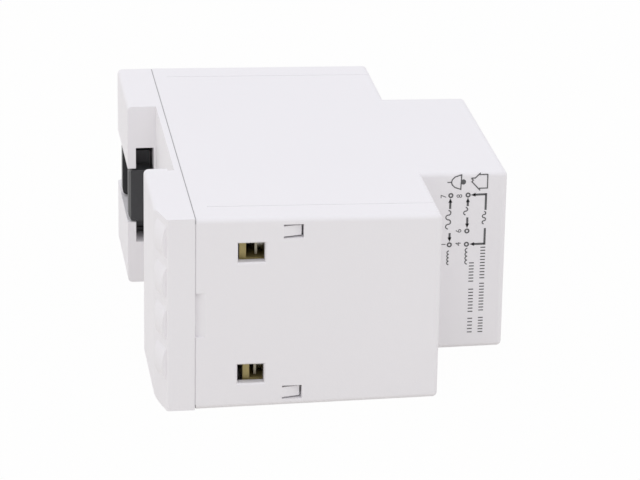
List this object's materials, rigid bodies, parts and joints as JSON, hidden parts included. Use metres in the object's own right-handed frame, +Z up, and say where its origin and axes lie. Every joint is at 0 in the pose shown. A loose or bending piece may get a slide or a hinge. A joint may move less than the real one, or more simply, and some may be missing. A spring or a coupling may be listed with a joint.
{
  "type": "din rail transformer",
  "caption": "White modular bell transformer for a top-hat rail: stepped two-part housing, sliding rail clip, screw terminals with rising cages, laminated core and split coil inside.",
  "frame": {"origin": "middle of the box in X and Y, on the lower side face's plane in Z", "axes": "+X from the rail side to the nose, +Y from the primary end to the secondary end, +Z up across the modules"},
  "size_m": [0.0662, 0.09, 0.036],
  "materials": {
    "housing_white": "fine satin moulding",
    "clip_grey": "satin moulding",
    "core_steel": "varnished laminations",
    "bobbin_plastic": "satin moulding",
    "winding_copper": "enamelled wire",
    "tape_yellow": "polyester tape",
    "cutout_black": "moulded case",
    "cage_brass": "stamped, slightly dull",
    "screw_steel": "zinc plated",
    "strip_tinned": "tin plated",
    "lead_sheath": "insulated lead"
  },
  "bodies": {
    "housing": {"front_cover": "housing_white", "rear_base": "housing_white", "core_e_stack": "core_steel", "core_i_stack": "core_steel", "bobbin": "bobbin_plastic", "primary_winding": "winding_copper", "secondary_winding": "winding_copper", "primary_wrap": "tape_yellow", "secondary_wrap": "tape_yellow", "thermal_cutout": "cutout_black", "strip_1": "strip_tinned", "strip_7": "strip_tinned", "strip_4": "strip_tinned", "strip_6": "strip_tinned", "strip_8": "strip_tinned", "lead_1": "lead_sheath", "lead_7": "lead_sheath", "lead_4": "lead_sheath", "lead_6": "lead_sheath", "lead_8": "lead_sheath"},
    "clip": {"rail_clip": "clip_grey"},
    "cage_1": {"cage_1": "cage_brass"},
    "screw_1": {"screw_1": "screw_steel"},
    "cage_7": {"cage_7": "cage_brass"},
    "screw_7": {"screw_7": "screw_steel"},
    "cage_4": {"cage_4": "cage_brass"},
    "screw_4": {"screw_4": "screw_steel"},
    "cage_6": {"cage_6": "cage_brass"},
    "screw_6": {"screw_6": "screw_steel"},
    "cage_8": {"cage_8": "cage_brass"},
    "screw_8": {"screw_8": "screw_steel"}
  },
  "joints": [
    {"name": "clip_slide", "type": "slide", "parent": "housing", "child": "clip", "axis": [0, 1, 0], "range_m": [-0.0036, 0]},
    {"name": "screw_1_turn", "type": "hinge", "parent": "housing", "child": "screw_1", "pos_m": [-0.00815, -0.0394, 0.00657], "axis": [-1, 0, 0], "range_deg": [-1621, 541]},
    {"name": "cage_1_rise", "type": "slide", "parent": "housing", "child": "cage_1", "axis": [1, 0, 0], "range_m": [-0.00225, 0.00075]},
    {"name": "screw_7_turn", "type": "hinge", "parent": "housing", "child": "screw_7", "pos_m": [-0.00815, -0.0394, 0.02943], "axis": [-1, 0, 0], "range_deg": [-1081, 1081]},
    {"name": "cage_7_rise", "type": "slide", "parent": "housing", "child": "cage_7", "axis": [1, 0, 0], "range_m": [-0.0015, 0.0015]},
    {"name": "screw_4_turn", "type": "hinge", "parent": "housing", "child": "screw_4", "pos_m": [-0.00815, 0.0394, 0.01419], "axis": [-1, 0, 0], "range_deg": [-1081, 1081]},
    {"name": "cage_4_rise", "type": "slide", "parent": "housing", "child": "cage_4", "axis": [1, 0, 0], "range_m": [-0.0015, 0.0015]},
    {"name": "screw_6_turn", "type": "hinge", "parent": "housing", "child": "screw_6", "pos_m": [-0.00815, 0.0394, 0.02181], "axis": [-1, 0, 0], "range_deg": [-1081, 1081]},
    {"name": "cage_6_rise", "type": "slide", "parent": "housing", "child": "cage_6", "axis": [1, 0, 0], "range_m": [-0.0015, 0.0015]},
    {"name": "screw_8_turn", "type": "hinge", "parent": "housing", "child": "screw_8", "pos_m": [-0.00815, 0.0394, 0.02943], "axis": [-1, 0, 0], "range_deg": [-1081, 1081]},
    {"name": "cage_8_rise", "type": "slide", "parent": "housing", "child": "cage_8", "axis": [1, 0, 0], "range_m": [-0.0015, 0.0015]}
  ],
  "couplings": [
    {"joint": "screw_1_turn", "follows": "cage_1_rise", "rad_per_m": 12566},
    {"joint": "screw_7_turn", "follows": "cage_7_rise", "rad_per_m": 12566},
    {"joint": "screw_4_turn", "follows": "cage_4_rise", "rad_per_m": 12566},
    {"joint": "screw_6_turn", "follows": "cage_6_rise", "rad_per_m": 12566},
    {"joint": "screw_8_turn", "follows": "cage_8_rise", "rad_per_m": 12566}
  ]
}
